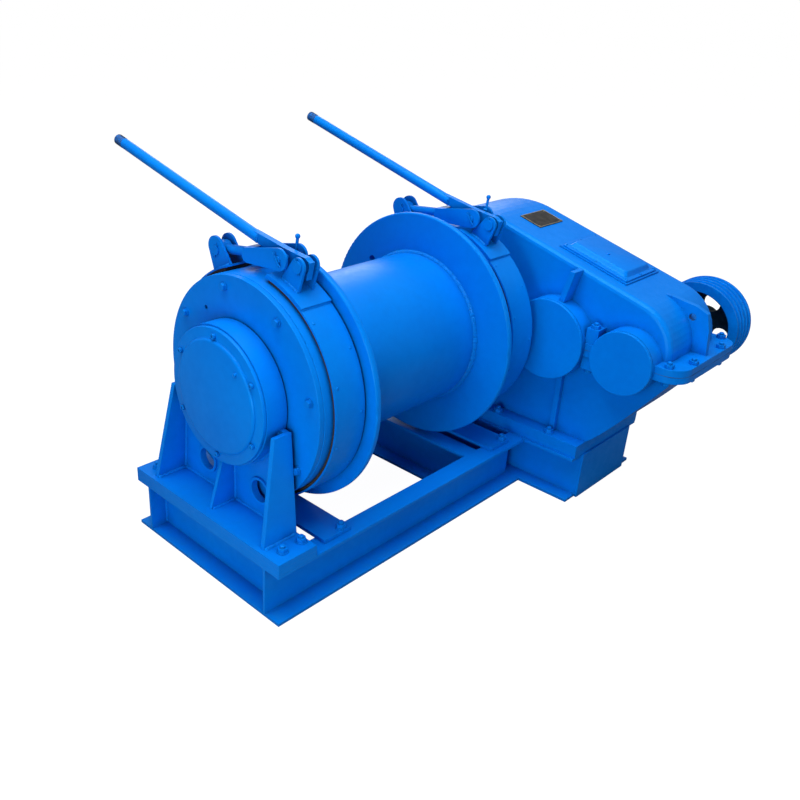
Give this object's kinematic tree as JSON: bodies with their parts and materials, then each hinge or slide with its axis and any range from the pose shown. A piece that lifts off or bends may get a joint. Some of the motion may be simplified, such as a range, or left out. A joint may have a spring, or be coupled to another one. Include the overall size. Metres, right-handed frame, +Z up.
{
  "type": "friction winch",
  "caption": "Rope winch on a channel frame: flanged drum with clutch housing and brake rim, band brakes with hand levers, and a two-stage gearbox with a belt pulley.",
  "frame": {"origin": "on the floor under the drum's axis, on the bottom flange of the end channel", "axes": "+X along the drum from the pedestal to the pulley, -Y the gearbox front, +Z up"},
  "size_m": [1.89, 1.6193, 1.2361],
  "materials": {
    "blue_paint": "gloss blue enamel",
    "bright_steel": "machined",
    "bronze": "machined",
    "lining": "woven friction lining",
    "plate_dark": "matt dark"
  },
  "bodies": {
    "base": {"rail_front": "blue_paint", "rail_back": "blue_paint", "end_channel": "blue_paint", "cross_channel": "blue_paint", "sub_beam_in": "blue_paint", "sub_beam_out": "blue_paint", "stringer_front": "blue_paint", "stringer_back": "blue_paint", "end_plate_front": "blue_paint", "end_plate_back": "blue_paint", "tie_plate_left": "blue_paint", "tie_plate_right": "blue_paint", "frame_bolts": "blue_paint", "sole_plate": "blue_paint", "pedestal": "blue_paint", "bearing_cover": "blue_paint", "cover_screws": "blue_paint", "main_bearing": "bright_steel", "ring_housing": "blue_paint", "housing_cover": "blue_paint", "housing_screws": "blue_paint", "band_left": "blue_paint", "band_right": "blue_paint", "lining_left": "lining", "lining_right": "lining", "band_anchors": "blue_paint", "bracket_left": "blue_paint", "bracket_right": "blue_paint", "brake_pins": "blue_paint", "case_lower": "blue_paint", "case_upper": "blue_paint", "split_bolts": "blue_paint", "spacer_plate": "blue_paint", "inspection_lid": "blue_paint", "nameplate": "plate_dark", "bearing_caps": "blue_paint", "gear_bearings": "bright_steel"},
    "drum": {"drum_barrel": "blue_paint", "flange_left": "blue_paint", "flange_right": "blue_paint", "brake_rim": "blue_paint", "drum_bushes": "bronze", "planet_pins": "bright_steel"},
    "main_shaft": {"main_shaft": "bright_steel", "sun_gear": "bright_steel", "out_gear": "bright_steel"},
    "planet_1": {"planet_1": "bright_steel"},
    "planet_2": {"planet_2": "bright_steel"},
    "planet_3": {"planet_3": "bright_steel"},
    "mid_shaft": {"mid_shaft": "bright_steel", "mid_gear": "bright_steel"},
    "input_shaft": {"input_shaft": "bright_steel", "pulley": "blue_paint"},
    "lever_left": {"lever_left": "blue_paint"},
    "lever_right": {"lever_right": "blue_paint"},
    "link_left": {"link_left": "blue_paint"},
    "link_right": {"link_right": "blue_paint"}
  },
  "joints": [
    {"name": "drum_spin", "type": "hinge", "parent": "base", "child": "drum", "pos_m": [0.62, 0, 0.59], "axis": [1, 0, 0], "continuous": true},
    {"name": "main_shaft_spin", "type": "hinge", "parent": "base", "child": "main_shaft", "pos_m": [1.4, 0, 0.59], "axis": [1, 0, 0], "continuous": true},
    {"name": "mid_shaft_spin", "type": "hinge", "parent": "base", "child": "mid_shaft", "pos_m": [1.4, -0.38, 0.59], "axis": [1, 0, 0], "continuous": true},
    {"name": "input_shaft_spin", "type": "hinge", "parent": "base", "child": "input_shaft", "pos_m": [1.5, -0.665, 0.59], "axis": [1, 0, 0], "continuous": true},
    {"name": "planet_1_spin", "type": "hinge", "parent": "drum", "child": "planet_1", "pos_m": [0.215, 0, 0.779], "axis": [1, 0, 0], "continuous": true},
    {"name": "planet_2_spin", "type": "hinge", "parent": "drum", "child": "planet_2", "pos_m": [0.215, -0.16368, 0.4955], "axis": [1, 0, 0], "continuous": true},
    {"name": "planet_3_spin", "type": "hinge", "parent": "drum", "child": "planet_3", "pos_m": [0.215, 0.16368, 0.4955], "axis": [1, 0, 0], "continuous": true},
    {"name": "lever_left_lift", "type": "hinge", "parent": "base", "child": "lever_left", "pos_m": [0.2305, -0.1657, 0.99004], "axis": [1, 0, 0], "range_deg": [0, 30]},
    {"name": "link_left_turn", "type": "hinge", "parent": "lever_left", "child": "link_left", "pos_m": [0.2305, -0.0997, 0.99801], "axis": [1, 0, 0], "range_deg": [-37, 0]},
    {"name": "lever_right_lift", "type": "hinge", "parent": "base", "child": "lever_right", "pos_m": [1.07, -0.19185, 0.97818], "axis": [1, 0, 0], "range_deg": [0, 30]},
    {"name": "link_right_turn", "type": "hinge", "parent": "lever_right", "child": "link_right", "pos_m": [1.07, -0.12615, 0.98834], "axis": [1, 0, 0], "range_deg": [-37, 0]}
  ],
  "couplings": [
    {"joint": "main_shaft_spin", "follows": "drum_spin", "ratio": 4.5},
    {"joint": "mid_shaft_spin", "follows": "drum_spin", "ratio": -20.647},
    {"joint": "input_shaft_spin", "follows": "drum_spin", "ratio": 82.588},
    {"joint": "planet_1_spin", "follows": "drum_spin", "ratio": -2.8},
    {"joint": "planet_2_spin", "follows": "drum_spin", "ratio": -2.8},
    {"joint": "planet_3_spin", "follows": "drum_spin", "ratio": -2.8},
    {"joint": "link_left_turn", "follows": "lever_left_lift", "ratio": -1.1795},
    {"joint": "link_right_turn", "follows": "lever_right_lift", "ratio": -1.1673}
  ]
}
